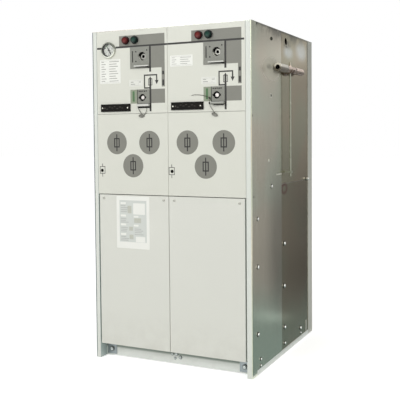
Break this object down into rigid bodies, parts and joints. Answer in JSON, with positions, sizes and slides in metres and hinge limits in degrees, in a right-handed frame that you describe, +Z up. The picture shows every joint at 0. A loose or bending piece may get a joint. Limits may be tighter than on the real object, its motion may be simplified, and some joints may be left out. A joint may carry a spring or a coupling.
{
  "type": "ring main unit",
  "caption": "Floor-standing sheet-metal ring main unit with operating shafts, push buttons, pressure gauge, fuse covers, cable covers and a lever hung on its side.",
  "frame": {"origin": "on the floor, in the middle of the four anchor holes, under the middle of the cabinet", "axes": "+Z up, front of the cabinet towards -Y, +X to the right as seen from the front"},
  "size_m": [0.7333, 0.766, 1.336],
  "materials": {
    "painted": "satin powder coat",
    "galvanised": "galvanised sheet",
    "zinc": "bright zinc plate",
    "mid_grey": "satin paint",
    "mechanism": "dull dark coating",
    "shaft": "turned steel",
    "red_button": "semi gloss",
    "green_button": "semi gloss",
    "collar": "matt",
    "bezel": "polished",
    "pointer": "matt",
    "glass": "clear",
    "black": "matt",
    "tank": "plain stainless sheet",
    "bushing": "cast resin",
    "lever": "yellow zinc plate"
  },
  "bodies": {
    "cabinet": {"left_front_post": "painted", "right_front_post": "painted", "operating_panel_left": "painted", "operating_panel_right": "painted", "fuse_cover_left": "painted", "fuse_cover_right": "painted", "cable_cover_left": "painted", "cable_cover_right": "painted", "base_beams": "painted", "base_rails": "painted", "rear_posts": "painted", "centre_mullion": "galvanised", "top_cover": "galvanised", "left_side_front": "galvanised", "right_side_front": "galvanised", "left_side_upper": "galvanised", "right_side_upper": "galvanised", "left_side_lower": "galvanised", "right_side_lower": "galvanised", "rear_upper_panel": "galvanised", "rear_lower_panel": "galvanised", "base_brackets": "zinc", "lever_holders": "zinc", "switch_plates": "mid_grey", "earth_plates": "mid_grey", "shaft_guides": "mechanism", "mechanism_boxes": "mechanism", "button_collars": "collar", "gauge_case": "bezel", "gauge_glass": "glass", "voltage_indicators": "black", "trip_indicators": "black", "gas_tank": "tank", "cable_bushings": "bushing", "lever_socket": "lever", "operating_lever": "lever"},
    "switch_shaft_left_body": {"switch_shaft_left": "shaft"},
    "earth_shaft_left_body": {"earth_shaft_left": "shaft"},
    "red_button_left_body": {"red_button_left": "red_button"},
    "green_button_left_body": {"green_button_left": "green_button"},
    "switch_shaft_right_body": {"switch_shaft_right": "shaft"},
    "earth_shaft_right_body": {"earth_shaft_right": "shaft"},
    "red_button_right_body": {"red_button_right": "red_button"},
    "green_button_right_body": {"green_button_right": "green_button"},
    "gauge_pointer_body": {"gauge_pointer": "pointer"}
  },
  "joints": [
    {"name": "switch_shaft_left_turn", "type": "hinge", "parent": "cabinet", "child": "switch_shaft_left_body", "pos_m": [-0.113, -0.3755, 1.227], "axis": [0, 1, 0], "range_deg": [0, 90]},
    {"name": "earth_shaft_left_turn", "type": "hinge", "parent": "cabinet", "child": "earth_shaft_left_body", "pos_m": [-0.113, -0.3755, 1.065], "axis": [0, 1, 0], "range_deg": [0, 90]},
    {"name": "red_button_left_push", "type": "slide", "parent": "cabinet", "child": "red_button_left_body", "axis": [0, 1, 0], "range_m": [0, 0.006], "stiffness_N_per_m": 600},
    {"name": "green_button_left_push", "type": "slide", "parent": "cabinet", "child": "green_button_left_body", "axis": [0, 1, 0], "range_m": [0, 0.006], "stiffness_N_per_m": 600},
    {"name": "switch_shaft_right_turn", "type": "hinge", "parent": "cabinet", "child": "switch_shaft_right_body", "pos_m": [0.209, -0.3755, 1.227], "axis": [0, 1, 0], "range_deg": [0, 90]},
    {"name": "earth_shaft_right_turn", "type": "hinge", "parent": "cabinet", "child": "earth_shaft_right_body", "pos_m": [0.209, -0.3755, 1.065], "axis": [0, 1, 0], "range_deg": [0, 90]},
    {"name": "red_button_right_push", "type": "slide", "parent": "cabinet", "child": "red_button_right_body", "axis": [0, 1, 0], "range_m": [0, 0.006], "stiffness_N_per_m": 600},
    {"name": "green_button_right_push", "type": "slide", "parent": "cabinet", "child": "green_button_right_body", "axis": [0, 1, 0], "range_m": [0, 0.006], "stiffness_N_per_m": 600},
    {"name": "gauge_pointer_turn", "type": "hinge", "parent": "cabinet", "child": "gauge_pointer_body", "pos_m": [-0.267, -0.3755, 1.259], "axis": [0, 1, 0], "range_deg": [-107, 163], "stiffness_Nm_per_rad": 0.002}
  ]
}
